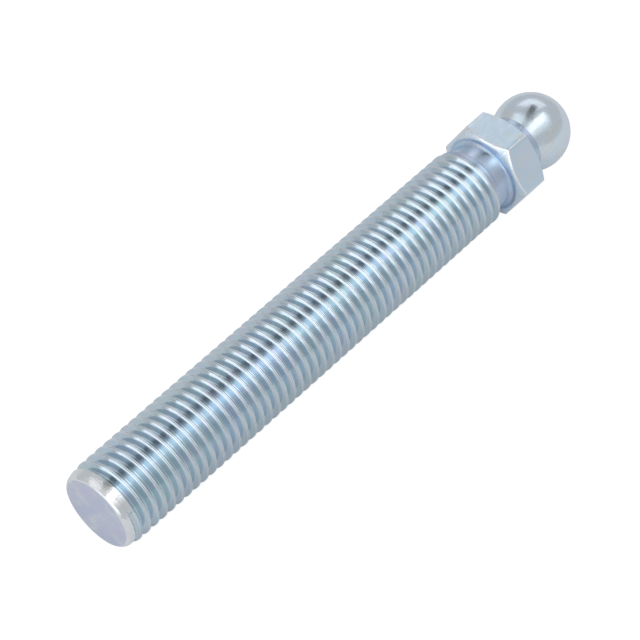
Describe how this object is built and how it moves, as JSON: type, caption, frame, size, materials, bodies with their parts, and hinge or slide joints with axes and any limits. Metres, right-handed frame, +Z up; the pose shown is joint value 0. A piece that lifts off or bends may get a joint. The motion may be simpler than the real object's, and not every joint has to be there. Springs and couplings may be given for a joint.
{
  "type": "ball-ended threaded stud",
  "caption": "One-piece threaded stud with a chamfered plain end, a hexagon for a spanner and a ball end, as used for the spindle of a levelling foot.",
  "frame": {"origin": "middle of the flat face of the plain threaded end", "axes": "+X along the stud's axis from the plain end to the ball, +Z up with one flat of the hexagon facing straight up and the opposite one straight down"},
  "size_m": [0.1235, 0.0196, 0.017],
  "materials": {
    "zinc_plate": "bright zinc plating with a pale blue passivation, over turned and rolled steel"
  },
  "bodies": {
    "root": {"ball_stud": "zinc_plate"}
  },
  "joints": []
}
